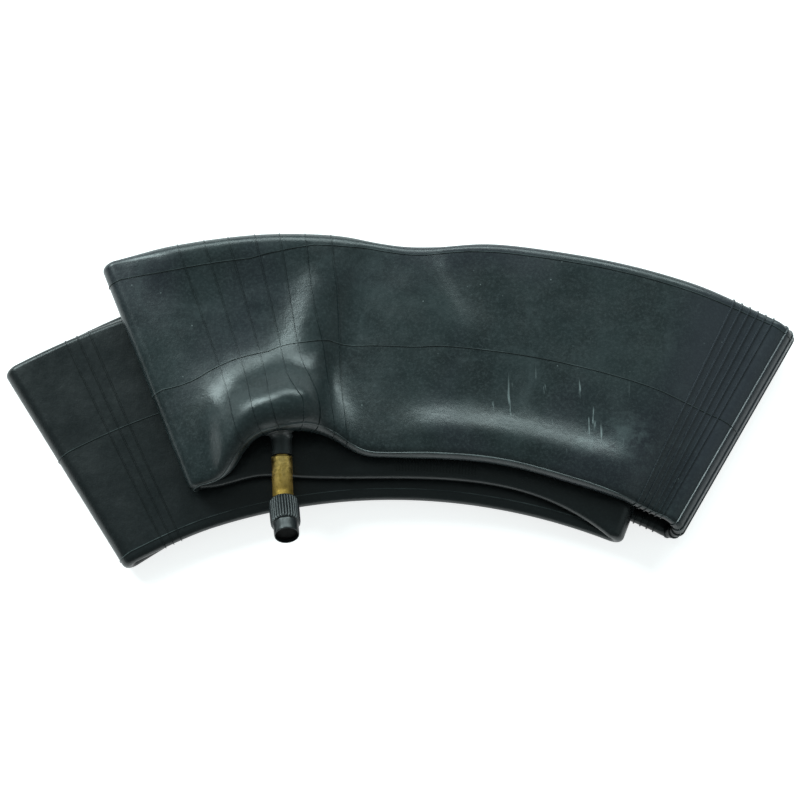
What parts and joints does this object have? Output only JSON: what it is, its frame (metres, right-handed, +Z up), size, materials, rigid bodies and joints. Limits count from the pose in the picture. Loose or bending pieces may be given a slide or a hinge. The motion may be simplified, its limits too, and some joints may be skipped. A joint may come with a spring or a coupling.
{
  "type": "inner tube",
  "caption": "Small-wheel butyl inner tube, deflated and folded flat in layers, with an angled brass Schrader valve and knurled plastic dust cap.",
  "frame": {"origin": "centre of the bounding box, at the bottom, where the packet rests on a table", "axes": "+X along the folded packet, from the valve's end to the far fold; +Z up, away from the table; +Y from the rim side of the tube to its tread side"},
  "size_m": [0.313, 0.131, 0.0415],
  "materials": {
    "butyl_rubber": "satin, smooth moulded",
    "pad_rubber": "satin",
    "brass": "plain turned brass, lightly tarnished",
    "core_brass": "turned",
    "seal_rubber": "matte",
    "pin_steel": "plain",
    "spring_steel": "plain",
    "cap_plastic": "satin moulded",
    "gasket_rubber": "matte"
  },
  "bodies": {
    "tube": {"tube_body": "butyl_rubber", "valve_base": "pad_rubber", "valve_stem": "brass", "core_plug": "core_brass", "core_barrel": "core_brass", "core_washer": "seal_rubber", "core_spring": "spring_steel"},
    "pin": {"core_pin": "pin_steel", "core_cup": "core_brass", "cup_seal": "seal_rubber"},
    "cap_carrier": {"cap_gasket": "gasket_rubber"},
    "cap": {"valve_cap": "cap_plastic"}
  },
  "joints": [
    {"name": "pin_press", "type": "slide", "parent": "tube", "child": "pin", "axis": [-0.1086, 0.8844, -0.454], "range_m": [0, 0.0012], "stiffness_N_per_m": 1500, "springref_m": -0.002, "deforming": ["core_spring"]},
    {"name": "cap_lift", "type": "slide", "parent": "tube", "child": "cap_carrier", "axis": [0.1086, -0.8844, 0.454], "range_m": [0, 0.00596]},
    {"name": "cap_turn", "type": "hinge", "parent": "cap_carrier", "child": "cap", "pos_m": [-0.0433, -0.05475, 0.02905], "axis": [0.1086, -0.8844, 0.454], "range_deg": [0, 2700]}
  ],
  "couplings": [
    {"joint": "cap_turn", "follows": "cap_lift", "rad_per_m": 7913.3}
  ]
}
